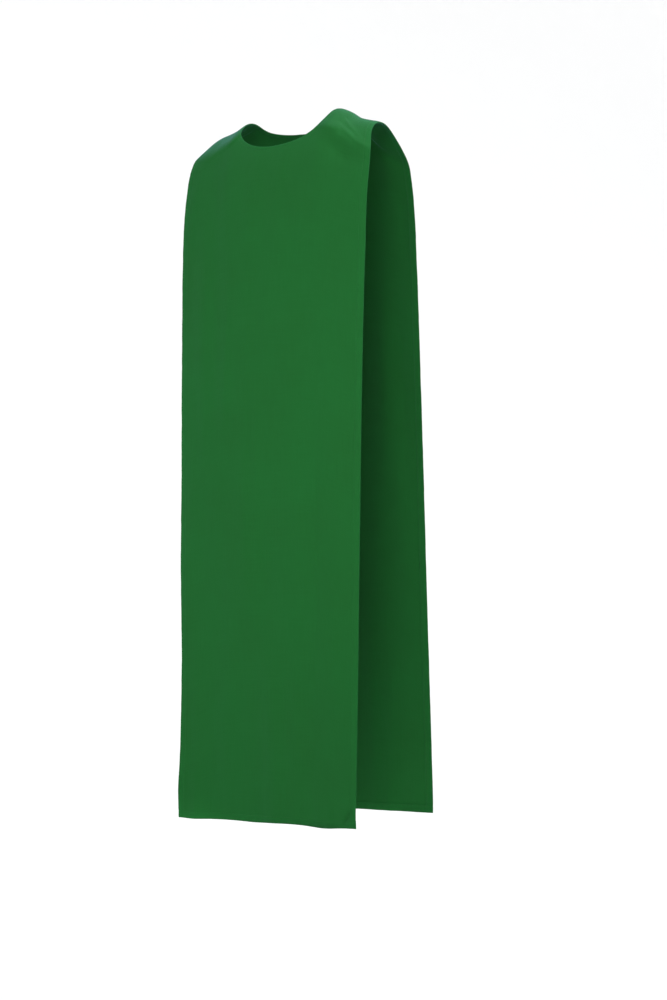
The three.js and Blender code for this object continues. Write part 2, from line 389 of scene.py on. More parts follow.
def smooth_point(panel, x, root):
    """The cloth's middle without its folds. Its depth grows in step with root near the shoulder seam
    and settles at the panel's reach: reach * sqrt(1 - exp(-fall / round)). The reach and the
    roundness go from the panel's middle to its edges with the square of x, and the reach from chest
    to hem in a straight line. The edges draw in at the shoulders and wander in bell-shaped waves."""
    fall = root**2
    side = np.sign(x)
    edge = (x / HALF_WIDTH) ** 2
    z = shoulder_height(x) - fall
    flare = np.clip((-z - FLARE_FROM) / (SHOULDER_TO_HEM - FLARE_FROM), 0, 1)
    chest = lerp(panel["reach"], panel["edge_reach"], edge)
    hem = lerp(panel["hem_reach"], panel["edge_hem_reach"], edge)
    roundness = lerp(panel["round"], panel["edge_round"], edge)
    depth = np.sign(root) * np.sqrt(1 - np.exp(-fall / roundness))
    near_edge = np.clip((np.abs(x) - DRAW_FROM) / (HALF_WIDTH - DRAW_FROM), 0, 1)
    out = np.abs(x) - SHOULDER_DRAW * near_edge * bell(fall, DRAW_FALL)
    reach = lerp(chest, hem, flare) * depth + panel["turn"] * flare * x / HALF_WIDTH
    if panel is FRONT:
        for w in rows_of(EDGE_WAVES):
            towards = (side * w["side"] * np.abs(x) - WAVE_FROM) / (HALF_WIDTH - WAVE_FROM)
            strength = np.clip(towards, 0, 1) ** 2 * bell(-z - w["fall"], w["spread"])
            out = out + w["out"] * strength
            reach = reach + w["forward"] * strength
    return np.stack([side * out, panel["facing"] * (SEAM_HALF_GAP + reach), z], -1)


def outward(panel, x, root):
    """The way the outer face looks: square to the cloth's slopes across and down."""
    across = smooth_point(panel, x + SLOPE_STEP, root) - smooth_point(panel, x - SLOPE_STEP, root)
    down = smooth_point(panel, x, root + SLOPE_STEP) - smooth_point(panel, x, root - SLOPE_STEP)
    out = np.cross(down, across) * -panel["facing"]
    return out / np.linalg.norm(out, axis=-1, keepdims=True)


def steepness(panel, x):
    """Depth gained for each step of root at the shoulder seam."""
    edge = (x / HALF_WIDTH) ** 2
    reach = lerp(panel["reach"], panel["edge_reach"], edge)
    return reach / np.sqrt(lerp(panel["round"], panel["edge_round"], edge))


def run_of(panel, x, root):
    """Nearly the length of cloth from the shoulder seam down to a place: the root of the sum of two
    squares, that of its depth, as it grows near the seam, and that of its fall."""
    return np.sqrt((steepness(panel, x) * root) ** 2 + root**4)


def root_of(panel, x, run):
    """The root at a given run, the other way round."""
    square = steepness(panel, x) ** 2
    return np.sqrt((np.sqrt(square**2 + 4 * run**2) - square) / 2)


def neck_place(panel, turn, away):
    """A place beside the neckline. turn goes from -1 at the seam on the wearer's right, round the
    neck, to 1 at the seam on the left, and away is the distance from the neckline. The neckline is a
    squarish ellipse in x and fall, and the lines beside it are larger ones. Near the seams they lie
    as far down as the neckline itself, so that rows run level there."""
    grown = panel["neck_drop"] + panel["neck_lean"] * away
    down = np.sin((1 - np.abs(turn)) * math.pi / 2)
    down = down * lerp(np.sqrt(panel["neck_drop"] / grown), 1, smooth(0, NECK_LEVEL_SHARE, down))
    across = np.clip(1 - down ** (2 * NECK_SQUARENESS), 0, 1) ** (1 / NECK_SQUARENESS)
    x = NECK_MIDDLE + np.sign(turn) * (NECK_HALF + away) * across
    return x, np.sqrt(grown) * down


def from_neckline(panel, x, root):
    """How far a place lies from the neckline: the range in which its own squarish ellipse is found is
    halved again and again."""
    low = np.zeros_like(x)
    high = np.full_like(x, NECK_FARTHEST)
    for _ in range(NECK_HALVINGS):
        middle = (low + high) / 2
        grown = panel["neck_drop"] + panel["neck_lean"] * middle
        across = (np.abs(x - NECK_MIDDLE) / (NECK_HALF + middle)) ** NECK_SQUARENESS
        inside = across + (root**2 / grown) ** NECK_SQUARENESS < 1
        high = np.where(inside, middle, high)
        low = np.where(inside, low, middle)
    return (low + high) / 2


# ---- folds, creases and the small unevenness of sewn cloth ----


def fold_lift(folds, x, fall):
    """Each fold runs from one place to another, its height rising and dying away along it as half a
    sine wave, and falling off to both sides as a bell. A bow swings its middle aside."""
    lift = np.zeros_like(x)
    for f in rows_of(folds):
        run_x = f["x1"] - f["x0"]
        run_fall = f["fall1"] - f["fall0"]
        length = math.hypot(run_x, run_fall)
        share = ((x - f["x0"]) * run_x + (fall - f["fall0"]) * run_fall) / length**2
        share = np.clip(share, 0, 1)
        aside = ((x - f["x0"]) * run_fall - (fall - f["fall0"]) * run_x) / length
        rise = np.sin(math.pi * share)
        lift += f["height"] * rise * bell(aside - f.get("bow", 0.0) * rise, f["spread"])
    return lift


def break_lift(breaks, x, fall):
    """Each break's line and height are smooth curves through its rows. Across the line it falls off
    as a bell, whose spread above the line isn't the one below it."""
    lift = np.zeros_like(x)
    for above, below, rows in breaks:
        aside = fall - through(rows["x"], rows["fall"], x)
        height = through(rows["x"], rows["height"], x)
        lift += height * bell(aside, np.where(aside < 0, above, below))
    return lift


def wander(seed, place, longest):
    """A smooth wandering line between about -1 and 1: sine waves from the longest wave down, each
    shorter and lower than the one before, with seeded phases."""
    draw = np.random.default_rng(seed)
    total = np.zeros_like(place)
    size = 1.0
    length = longest
    for phase in draw.uniform(0, 2 * math.pi, WANDER_WAVES):
        total += size * np.sin(2 * math.pi * place / length + phase)
        length /= WANDER_SHORTER
        size *= WANDER_LOWER
    return total / WANDER_WHOLE


def ripple_lift(panel, place):
    """Sewn edges ripple: a wandering line along each edge, strongest just inside it and dying away
    into the panel as an exponential."""
    seed = panel["ripple_seed"]
    x = place["x"]
    run = place["run"]
    right_side = wander(seed + 1, run, SIDE_RIPPLE["right_wave"])
    left_side = wander(seed + 2, run, SIDE_RIPPLE["left_wave"])
    sides = SIDE_RIPPLE["height"] * np.where(x > 0, left_side, right_side)
    sides *= np.exp(-place["from_side"] / SIDE_RIPPLE["fade"])
    sides *= smooth(*SIDE_RIPPLE_FROM, run) * smooth(*FOLD_STIFFENS, place["from_side"])
    hem = HEM_RIPPLE["height"] * wander(seed + 3, x, HEM_RIPPLE["wave"])
    hem *= np.exp(-place["from_hem"] / HEM_RIPPLE["fade"])
    round_neck = np.arctan2(place["root"] ** 2, x - NECK_MIDDLE) * NECK_RADIUS
    neck = NECK_RIPPLE["height"] * wander(seed + 4, round_neck, NECK_RIPPLE["wave"])
    neck *= np.exp(-place["from_neck"] / NECK_RIPPLE["fade"]) * smooth(*NECK_RIPPLE_FROM, run)
    return sides + hem + neck


def soft_lift(panel, x, run):
    """The cloth is never quite even: a few dozen faint waves, much longer down the panel than
    across it, with seeded directions and phases."""
    draw = np.random.default_rng(panel["soft_seed"])
    lift = np.zeros_like(x)
    for _ in range(SOFT_WAVES):
        wave_x = 2 * math.pi / draw.uniform(*SOFT_WIDTHS) * draw.choice([-1, 1])
        wave_run = 2 * math.pi / draw.uniform(*SOFT_LENGTHS)
        height = draw.uniform(*SOFT_HEIGHTS)
        lift += height * np.sin(wave_x * x + wave_run * run + draw.uniform(*SOFT_PHASES))
    return lift * smooth(*SOFT_FROM, run)


def hem_rolls(panel, x, from_hem):
    """Lift and painted shade of the rolls along the hem: each a bell across the panel, growing down to
    the hem with the square of the way gone from its reach. The shade darkens the colour as painted shade
    where the cloth curls under and lightens it as painted light where it kicks out."""
    lift = np.zeros_like(x)
    shade = np.zeros_like(x)
    for r in rows_of(panel["hem_rolls"]):
        here = bell(x - r["x"], r["spread"]) * np.clip(1 - from_hem / r["reach"], 0, 1) ** 2
        lift += r["height"] * here
        shade += r["shade"] * here
    return lift, shade


def places(panel, x, root):
    """What the sewing needs to know of each place: its run down the cloth and its distances from the
    side edge, the hem, the neckline and the shoulder seam."""
    run = run_of(panel, x, root)
    hem_root = np.sqrt(hem_fall(panel, x))
    return dict(
        x=x,
        root=root,
        run=run,
        from_side=HALF_WIDTH - np.abs(x),
        from_hem=run_of(panel, x, hem_root) - run,
        from_neck=from_neckline(panel, x, root),
        from_seam=steepness(panel, x) * root,
    )


def nearest_edge(place):
    """How far a place lies from the nearest of its panel's edges."""
    return np.minimum.reduce([place[name] for name, *_ in EDGES])


def faces_of(panel, x, root):
    """The outer and the inner face of a panel at each place, how much of the painted highlight of its
    turned edges lies there, and the places with their painted shade and painted light along the hem.
    Folds lift the cloth square to its smooth form. The inner face steps in by the layers turned under,
    and the outer face swells a little over them and is drawn in along the stitches. At an edge both round
    into one fold."""
    place = places(panel, x, root)
    middle = smooth_point(panel, x, root)
    out = outward(panel, x, root)
    fall = root**2
    lift = fold_lift(panel["folds"], x, fall) + fold_lift(panel["creases"], x, fall)
    lift += break_lift(panel["shoulder_breaks"], x, fall)
    lift *= smooth(0, SEAM_HOLDS, place["from_seam"])
    lift += ripple_lift(panel, place) + soft_lift(panel, x, place["run"])
    # The rolls' lift is real cloth; their shade is painted: darker where the cloth curls under, lighter
    # where it kicks out.
    roll, shade = hem_rolls(panel, x, place["from_hem"])
    lift += roll
    # Creases at the hem are painted darker as well, as painted shade in the crease.
    place["shade"] = shade + fold_lift(panel["worn_creases"], x, fall)
    above = np.full_like(x, CLOTH / 2)
    below = np.full_like(x, CLOTH / 2)
    turned = np.zeros_like(x)
    for name, width, layers, stitched in EDGES:
        past = place[name] - width
        below += CLOTH * layers * (1 - smooth(*STEP_END, past))
        if stitched:
            past_line = past + STITCH_IN
            above += HEM_SWELL * (1 - smooth(*SWELL_END, past_line))
            above -= STITCH_PULL * bell(past_line, OUTER_PULL_SPREAD)
            below -= STITCH_PULL * bell(past_line, INNER_PULL_SPREAD)
            # The share of the painted highlight along each stitched edge, which also stands for its
            # pressing and handling.
            turned = np.maximum(turned, 1 - smooth(*EDGE_HIGHLIGHT_FADE, past))
    rounded = np.sqrt(1 - (1 - np.clip(nearest_edge(place) / FOLD_RADIUS, 0, 1)) ** 2)
    centre = (above - below) / 2
    half = (above + below) / 2 * rounded
    outer = middle + out * (lift + centre + half)[..., None]
    inner = middle + out * (lift + centre - half)[..., None]
    return outer, inner, turned, place


# ---- the panels' grids ----

# Rows and columns beside an edge, by their distance from it: close together over its rounded fold and
# over its stitches.
EDGE_STEPS = np.array([
    0, 0.06, 0.22, 0.45, 0.75, 1.3, 2.2, 3.6, 5.4, 7.4, 9.2, 10.3, 10.9, 11.5, 12.1, 12.6, 13.1, 14.2, 16,
])
SEAM_STEPS = np.array([0, 0.06, 0.22, 0.45, 0.75, 1.5, 3, 5, 7.5, 10, 11.8, 12.4, 13.2, 15])
NECK_STEPS = np.array([
    0, 0.06, 0.22, 0.45, 0.75, 1.3, 2.1, 3.1, 4.2, 5.1, 5.6, 6.1, 6.7, 7.3, 7.8, 8.4, 9.6, 11.4,
])
NECK_BLOCK = 32.0  # the block of cloth round the neck reaches this far past the neckline
BLOCK_ROWS = 10  # from the last of the neck's own rows to the block's border
COLUMN_STEP = 2.8
ROW_STEP = 2.6
LOWER_ROWS = 224
LOWER_EASE = 0.25  # how much closer the first rows below the block lie than evenly
NECKLINE_POINTS = 6001  # with which the neckline's length is measured
SAME_PLACE = 6  # decimals to which two places agree if they are one
ON_EDGE = 0.01  # a place nearer to an edge than this lies on it


def spread_out(start, stop, step):
    """Even places from start to stop, both included, at most a step apart."""
    return np.linspace(start, stop, math.ceil((stop - start) / step) + 1)


def neck_turns(panel, wanted):
    """The neckline's turns that answer to given lengths along the block's border: as far from the
    seams, near them, and at the same share of the way in between."""
    turn = np.linspace(-1, 1, NECKLINE_POINTS)
    line = smooth_point(panel, *neck_place(panel, turn, 0.0))
    length = np.append(0, np.cumsum(np.linalg.norm(np.diff(line, axis=0), axis=1)))
    near = SEAM_STEPS[-1]
    share = np.clip((wanted - near) / (wanted[-1] - 2 * near), 0, 1)
    between = near + share * (length[-1] - 2 * near)
    from_end = length[-1] - (wanted[-1] - wanted)
    place = np.where(wanted < near, wanted, np.where(wanted[-1] - wanted < near, from_end, between))
    return np.interp(place, length, turn)


def panel_grids(panel):
    """A panel's places, as four grids that share their borders: the cloth beside the neck on the
    wearer's right and on the left, all that hangs below, and the block round the neck. Rows keep
    their distance from the seam and from the hem. In the block they keep it from the neckline, and
    then go over evenly to the block's square border."""
    edge = HALF_WIDTH - EDGE_STEPS
    half = NECK_HALF + NECK_BLOCK
    right = np.concatenate([-edge[:-1], spread_out(-edge[-1], NECK_MIDDLE - half, COLUMN_STEP)])
    across = spread_out(NECK_MIDDLE - half, NECK_MIDDLE + half, COLUMN_STEP)
    left = np.concatenate([spread_out(NECK_MIDDLE + half, edge[-1], COLUMN_STEP), edge[-2::-1]])

    bottom = run_of(panel, NECK_MIDDLE, np.sqrt(panel["neck_drop"])) + NECK_BLOCK
    down = np.concatenate([SEAM_STEPS[:-1], spread_out(SEAM_STEPS[-1], bottom, ROW_STEP)])
    whole = np.concatenate([right, across[1:-1], left])
    hem_run = run_of(panel, whole, np.sqrt(hem_fall(panel, whole)))
    share = np.linspace(0, 1, LOWER_ROWS)[:, None]
    share = lerp(share, share**2, LOWER_EASE)
    low_run = np.concatenate([
        lerp(bottom, hem_run - EDGE_STEPS[-1], share), hem_run - EDGE_STEPS[-2::-1, None],
    ])

    border_x = np.concatenate([0 * down + across[0], across[1:-1], 0 * down + across[-1]])
    border_run = np.concatenate([down, 0 * across[1:-1] + bottom, down[::-1]])
    along = np.hypot(np.diff(border_x), np.diff(border_run))
    turn = neck_turns(panel, np.append(0, np.cumsum(along)))
    near_x, near_root = neck_place(panel, turn, NECK_STEPS[:, None])
    near_run = run_of(panel, near_x, near_root)
    share = np.linspace(0, 1, BLOCK_ROWS + 1)[1:, None]
    block_x = np.concatenate([near_x, lerp(near_x[-1], border_x, share)])
    block_run = np.concatenate([near_run, lerp(near_run[-1], border_run, share)])

    beside = [np.meshgrid(right, down), np.meshgrid(left, down)]
    grids = beside + [(whole + 0 * low_run, low_run), (block_x, block_run)]
    return [(x, root_of(panel, x, run)) for x, run in grids]


def weld(grids):
    """One list of places from grids that share their borders, and each grid's numbers in it."""
    x = np.concatenate([x.ravel() for x, _ in grids])
    root = np.concatenate([root.ravel() for _, root in grids])
    rounded = np.round(np.stack([x, root], -1), SAME_PLACE)
    _, first, number = np.unique(rounded, axis=0, return_index=True, return_inverse=True)
    ends = np.cumsum([x.size for x, _ in grids])
    numbers = [n.reshape(x.shape) for n, (x, _) in zip(np.split(number.ravel(), ends[:-1]), grids)]
    return x[first], root[first], numbers


def grid_faces(index, flip):
    """Four-sided faces over a grid of vertex numbers."""
    a, b = index[:-1, :-1], index[:-1, 1:]
    c, d = index[1:, 1:], index[1:, :-1]
    corners = (a, b, c, d) if flip else (a, d, c, b)
    return np.stack(corners, -1).reshape(-1, 4)


def make_mesh(name, points, faces):
    """A smooth-shaded object from points in millimetres and faces of four corners."""
    mesh = bpy.data.meshes.new(name)
    mesh.vertices.add(len(points))
    mesh.vertices.foreach_set("co", (points * MM).astype(np.float32).ravel())
    mesh.loops.add(faces.size)
    mesh.loops.foreach_set("vertex_index", faces.astype(np.int32).ravel())
    mesh.polygons.add(len(faces))
    mesh.polygons.foreach_set("loop_start", np.arange(0, faces.size, 4, dtype=np.int32))
    mesh.polygons.foreach_set("loop_total", np.full(len(faces), 4, np.int32))
    mesh.polygons.foreach_set("use_smooth", np.ones(len(faces), bool))
    mesh.update(calc_edges=True)
    mesh.validate()
    piece = bpy.data.objects.new(name, mesh)
    bpy.context.scene.collection.objects.link(piece)
    return piece


def cloth_panel(panel):
    """A closed shell of thin cloth: an outer and an inner face on the same grids, which share their
    points along every edge."""
    x, root, grids = weld(panel_grids(panel))
    outer, inner, turned, place = faces_of(panel, x, root)
    inside = nearest_edge(place) > ON_EDGE
    behind = np.where(inside, len(x) - 1 + np.cumsum(inside), np.arange(len(x)))
    flip = panel["facing"] > 0
    faces = [grid_faces(grid, flip) for grid in grids]
    faces += [grid_faces(behind[grid], not flip) for grid in grids]
    piece = make_mesh(panel["name"] + "_cloth", np.vstack([outer, inner[inside]]), np.vstack(faces))
    at = np.append(np.arange(len(x)), np.flatnonzero(inside))
    add_attribute(piece, "turned_edge", turned[at])
    # The painted shade and painted light along the hem, with which the material darkens or lightens the
    # cloth's colour.
    add_attribute(piece, "painted_hem_shading", place["shade"][at])
    add_cloth_map(piece, np.stack([x, place["run"]], -1)[at] * MM)
    return piece


def add_attribute(piece, name, values):
    """A number for each point, which a material can read."""
    layer = piece.data.attributes.new(name, "FLOAT", "POINT")
    layer.data.foreach_set("value", values.astype(np.float32))


def add_cloth_map(piece, flat):
    """A UV map in metres of flat cloth: across the panel and down it."""
    corners = np.empty(len(piece.data.loops), np.int32)
    piece.data.loops.foreach_get("vertex_index", corners)
    layer = piece.data.uv_layers.new(name="cloth")
    layer.data.foreach_set("uv", flat[corners].astype(np.float32).ravel())


# ---- stitches ----

THREAD = 0.42  # its thickness
STITCH_PITCH = 3.0
STITCH_LENGTH = 2.5
# A stitch's rings of points: where along it, how thick there, and how far out of the cloth. Its ends dip
# in where the thread goes through.
STITCH_RINGS = np.array([-0.5, -0.36, 0.0, 0.36, 0.5])
STITCH_SWELL = np.array([0.25, 0.85, 1.0, 0.85, 0.25])
STITCH_RISE = np.array([-0.16, 0.0, 0.06, 0.0, -0.16])
STITCH_SIDES = 6
LINE_POINTS = 1200  # with which a long line of stitches is measured
HEM_LINE_POINTS = 400
SEAM_LINE_POINTS = 300
SIDE_LINE_START = 0.6  # below the shoulder seam
NECK_LINE_END = 0.998  # the turn round the neck at which its stitches stop
SEAM_END = 1.0  # a seam's thread starts and stops this far inside it
SEAM_SUNK = 0.35  # how deep the seam's thread lies in its groove


def along_line(line):
    """Places along a line of points, one for each ring of each stitch, as shares of the line's own
    count: the stitches lie a pitch apart, from half a pitch in."""
    measured = np.append(0, np.cumsum(np.linalg.norm(np.diff(line, axis=0), axis=1)))
    count = int(measured[-1] / STITCH_PITCH)
    middles = (np.arange(count) + 0.5) * measured[-1] / count
    wanted = middles[:, None] + STITCH_RINGS * STITCH_LENGTH
    share = np.linspace(0, 1, len(line))
    return np.interp(np.clip(wanted, 0, measured[-1]), measured, share)


def stitch_beads(centres, up):
    """Small round beads of thread, each a ring of points carried along its own short line: points of
    a ring lie round its centre, sideways and along the way the cloth looks, by the thread's radius
    times the bead's swell there."""
    ahead = np.gradient(centres, axis=1)
    ahead /= np.linalg.norm(ahead, axis=-1, keepdims=True)
    aside = np.cross(ahead, up)
    aside /= np.linalg.norm(aside, axis=-1, keepdims=True)
    angle = np.arange(STITCH_SIDES) * 2 * math.pi / STITCH_SIDES
    radius = (THREAD / 2 * STITCH_SWELL)[None, :, None, None]
    ring = np.cos(angle)[:, None] * aside[:, :, None] + np.sin(angle)[:, None] * up[:, :, None]
    points = centres[:, :, None] + radius * ring
    stitches, rings = centres.shape[:2]
    index = np.arange(points[..., 0].size).reshape(stitches, rings, STITCH_SIDES)
    after = np.roll(index, -1, axis=2)
    sides = np.stack([index[:, :-1], after[:, :-1], after[:, 1:], index[:, 1:]], -1).reshape(-1, 4)
    ends = []  # the six corners of an end are closed by two faces
    for cap in (index[:, 0, ::-1], index[:, -1]):
        ends.append(cap[:, [0, 1, 2, 3]])
        ends.append(cap[:, [0, 3, 4, 5]])
    return points.reshape(-1, 3), np.vstack([sides, *ends])


def stitch_row(panel, x, root, inside=False):
    """One row of stitches along a line of places on a panel, on its outer or its inner face."""
    outer, inner, *_ = faces_of(panel, x, root)
    share = along_line(inner if inside else outer)
    count = np.linspace(0, 1, len(x))
    ring_x = np.interp(share, count, x)
    ring_root = np.interp(share, count, root)
    outer, inner, *_ = faces_of(panel, ring_x.ravel(), ring_root.ravel())
    up = outward(panel, ring_x, ring_root) * (-1 if inside else 1)
    face = (inner if inside else outer).reshape(up.shape)
    return stitch_beads(face + up * STITCH_RISE[None, :, None], up)


def stitch_lines(panel):
    """The places along each line of stitches: down both side hems, along the hem, round the neck."""
    side = HALF_WIDTH - SIDE_HEM + STITCH_IN
    down = np.linspace(0, 1, LINE_POINTS)
    lines = []
    for x in (-side, side):
        here = np.full_like(down, x)
        end = run_of(panel, here, np.sqrt(hem_fall(panel, here))) - HEM + STITCH_IN
        lines.append((here, root_of(panel, here, lerp(SIDE_LINE_START, end, down))))
    across = np.linspace(-side, side, HEM_LINE_POINTS)
    end = run_of(panel, across, np.sqrt(hem_fall(panel, across))) - HEM + STITCH_IN
    lines.append((across, root_of(panel, across, end)))
    turn = np.linspace(-NECK_LINE_END, NECK_LINE_END, LINE_POINTS)
    lines.append(neck_place(panel, turn, NECK_HEM - STITCH_IN))
    return lines


def join(parts):
    """Points and faces of several parts as one mesh."""
    points = [p for p, _ in parts]
    starts = np.cumsum([0] + [len(p) for p in points[:-1]])
    return np.vstack(points), np.vstack([f + start for (_, f), start in zip(parts, starts)])


def panel_stitching(panel):
    """All rows of stitches of a panel, which show on both its faces."""
    rows = []
    for x, root in stitch_lines(panel):
        rows.append(stitch_row(panel, x, root))
        rows.append(stitch_row(panel, x, root, inside=True))
    return make_mesh(panel["name"] + "_stitching", *join(rows))


def seam_thread():
    """The thread that holds the two panels together: short bars down in the groove of each shoulder
    seam."""
    rows = []
    for near, far in (
        (-HALF_WIDTH + SEAM_END, -NECK_RIGHT - SEAM_END), (NECK_LEFT + SEAM_END, HALF_WIDTH - SEAM_END),
    ):
        line_x = np.linspace(near, far, SEAM_LINE_POINTS)
        share = along_line(smooth_point(FRONT, line_x, 0 * line_x))
        x = np.interp(share, np.linspace(0, 1, SEAM_LINE_POINTS), line_x)
        centres = smooth_point(FRONT, x, 0 * x)
        centres[..., 1] = 0
        up = outward(FRONT, x, 0 * x)
        rows.append(stitch_beads(centres - up * SEAM_SUNK, up))
    return make_mesh("seam_thread", *join(rows))


# ---- materials ----


def linear(hex_colour):
    """A linear colour from an sRGB hex value."""
    channels = [int(hex_colour[i : i + 2], 16) / 255 for i in (1, 3, 5)]
    return (*(c / 12.92 if c <= 0.04045 else ((c + 0.055) / 1.055) ** 2.4 for c in channels), 1.0)


def add_node(tree, kind, settings=None, values=None, links=None):
    """Adds a node. Settings are its own properties, values are set on its inputs and links join its
    inputs to the outputs of other nodes. An input goes by its name or its number."""
    made = tree.nodes.new(kind)
    for name, value in (settings or {}).items():
        setattr(made, name, value)
    for key, value in (values or {}).items():
        made.inputs[key].default_value = value
    for key, source in (links or {}).items():
        tree.links.new(source, made.inputs[key])
    return made


# A Mix node's sockets for colour, by number: three that go in and one that comes out.
MIX_SHARE, MIX_A, MIX_B = 0, 6, 7
MIXED = 2


def new_material(name):
    """An empty material and its tree of nodes."""
    material = bpy.data.materials.new(name)
    material.use_nodes = True
    material.node_tree.nodes.clear()
    return material, material.node_tree


YARN = 1.5  # real yarns lie 0.35 mm apart, too fine to show, so they are drawn this far apart
SLUB_WIDTH = 2.2  # a thick or thin stretch of yarn, really 0.4 mm wide, drawn so coarse that it shows
SLUB_LENGTH = 55.0
DYE_PATCH = 1000 / 7  # a patch of slightly lighter or darker dye
RUMPLE = 1000 / 26  # a soft rumple from handling
TWIST = 1000 / 1800  # a turn of the sewing thread's plies
WAVE_REPEAT = 0.31416  # a wave texture at scale 1 repeats in this many units

DYE_DARK, DYE_LIGHT = "#124e1d", "#155322"
# A lighter green for the turned edges: a painted highlight, which also stands for their pressing and
# handling.
PRESSED_EDGE_HIGHLIGHT = "#195b29"
FUZZ = "#92cbf2"  # the fibre ends that stand off spun yarn, in a cool light
THREAD_DARK, THREAD_LIGHT = "#12481c", "#185626"


def woven_polyester():
    """Plain-woven spun polyester, piece-dyed deep green. Spun yarn breaks up the light, so it is
    matt, a little lighter where it turns away from the eye, and faintly streaked where yarns run
    thick or thin. Folded edges carry a painted highlight, a little lighter, which also stands for their
    pressing and handling. Along the hem the colour holds painted shade, darker where the cloth curls
    under and in its creases, and painted light, lighter where it kicks out."""
    material, tree = new_material("woven_polyester_green")
    flat = add_node(tree, "ShaderNodeUVMap", {"uv_map": "cloth"}).outputs["UV"]
    solid = add_node(tree, "ShaderNodeTexCoord").outputs["Object"]

    yarns = []
    for direction in "XY":
        yarns.append(add_node(
            tree, "ShaderNodeTexWave", {"wave_type": "BANDS", "bands_direction": direction},
            {"Scale": WAVE_REPEAT / (YARN * MM), "Distortion": 0.8, "Detail": 1.0, "Detail Scale": 1.5},
            {"Vector": flat},
        ).outputs["Fac"])
    weave = add_node(tree, "ShaderNodeMath", {"operation": "MULTIPLY"}, links={0: yarns[0], 1: yarns[1]})

    slubs = []
    for across, down in ((SLUB_WIDTH, SLUB_LENGTH), (SLUB_LENGTH, SLUB_WIDTH)):
        stretched = add_node(
            tree, "ShaderNodeMapping", values={"Scale": (1 / (across * MM), 1 / (down * MM), 1)},
            links={"Vector": flat},
        )
        slubs.append(add_node(
            tree, "ShaderNodeTexNoise", values={"Scale": 1.0, "Detail": 2.0},
            links={"Vector": stretched.outputs[0]},
        ).outputs["Fac"])
    streaks = add_node(tree, "ShaderNodeMath", {"operation": "ADD"}, links={0: slubs[0], 1: slubs[1]})
    dye = add_node(
        tree, "ShaderNodeTexNoise",
        values={"Scale": 1 / (DYE_PATCH * MM), "Detail": 3.0, "Roughness": 0.55}, links={"Vector": solid},
    ).outputs["Fac"]

    # Streaks, and the dye a little less, swing the colour between a darker and a lighter green.
    swings = []
    for low, high, most, value in ((0.72, 1.28, 0.55, streaks.outputs[0]), (0.35, 0.65, 0.45, dye)):
        swings.append(add_node(
            tree, "ShaderNodeMapRange", values={"From Min": low, "From Max": high, "To Max": most},
            links={"Value": value},
        ).outputs[0])
    share = add_node(tree, "ShaderNodeMath", {"operation": "ADD"}, links={0: swings[0], 1: swings[1]})
    body = add_node(
        tree, "ShaderNodeMix", {"data_type": "RGBA"},
        {MIX_A: linear(DYE_DARK), MIX_B: linear(DYE_LIGHT)}, {MIX_SHARE: share.outputs[0]},
    )
    turned = add_node(tree, "ShaderNodeAttribute", {"attribute_name": "turned_edge"})
    edge_share = add_node(
        tree, "ShaderNodeMath", {"operation": "MULTIPLY"}, {1: 0.12}, {0: turned.outputs["Fac"]},
    )
    # The turned edges are mixed a little toward a lighter green: a painted highlight, which also stands
    # for their pressing and handling.
    dyed = add_node(
        tree, "ShaderNodeMix", {"data_type": "RGBA"}, {MIX_B: linear(PRESSED_EDGE_HIGHLIGHT)},
        {MIX_SHARE: edge_share.outputs[0], MIX_A: body.outputs[MIXED]},
    )
    # Painted shade and painted light along the hem: the colour is darkened where the cloth curls under
    # and in its creases, and lightened where it kicks out.
    painted_hem_shading = add_node(tree, "ShaderNodeAttribute", {"attribute_name": "painted_hem_shading"})
    brightness = add_node(
        tree, "ShaderNodeMath", {"operation": "ADD"}, {1: 1.0}, {0: painted_hem_shading.outputs["Fac"]},
    )
    colour = add_node(
        tree, "ShaderNodeHueSaturation",
        links={"Color": dyed.outputs[MIXED], "Value": brightness.outputs[0]},
    )
    roughness = add_node(
        tree, "ShaderNodeMapRange",
        values={"From Min": 0.3, "From Max": 0.7, "To Min": 0.78, "To Max": 0.9}, links={"Value": dye},
    )

    # Relief: the weave, the slubs and the rumples, each with its strength and its depth in millimetres.
    rumples = add_node(
        tree, "ShaderNodeTexNoise", values={"Scale": 1 / (RUMPLE * MM), "Detail": 3.0},
        links={"Vector": solid},
    )
    relief = None
    for strength, depth, height in (
        (0.35, 0.25, weave.outputs[0]),
        (0.5, 0.12, streaks.outputs[0]),
        (0.5, 0.8, rumples.outputs["Fac"]),
    ):
        links = {"Height": height}
        if relief:
            links["Normal"] = relief.outputs[0]
        relief = add_node(
            tree, "ShaderNodeBump", values={"Strength": strength, "Distance": depth * MM}, links=links,
        )
    shader = add_node(
        tree, "ShaderNodeBsdfPrincipled",
        values={
            "IOR": 1.5, "Specular IOR Level": 0.08, "Sheen Weight": 0.16, "Sheen Roughness": 0.35,
            "Sheen Tint": linear(FUZZ),
        },
        links={
            "Base Color": colour.outputs["Color"], "Roughness": roughness.outputs[0],
            "Normal": relief.outputs[0],
        },
    )
    add_node(tree, "ShaderNodeOutputMaterial", links={"Surface": shader.outputs[0]})
    return material


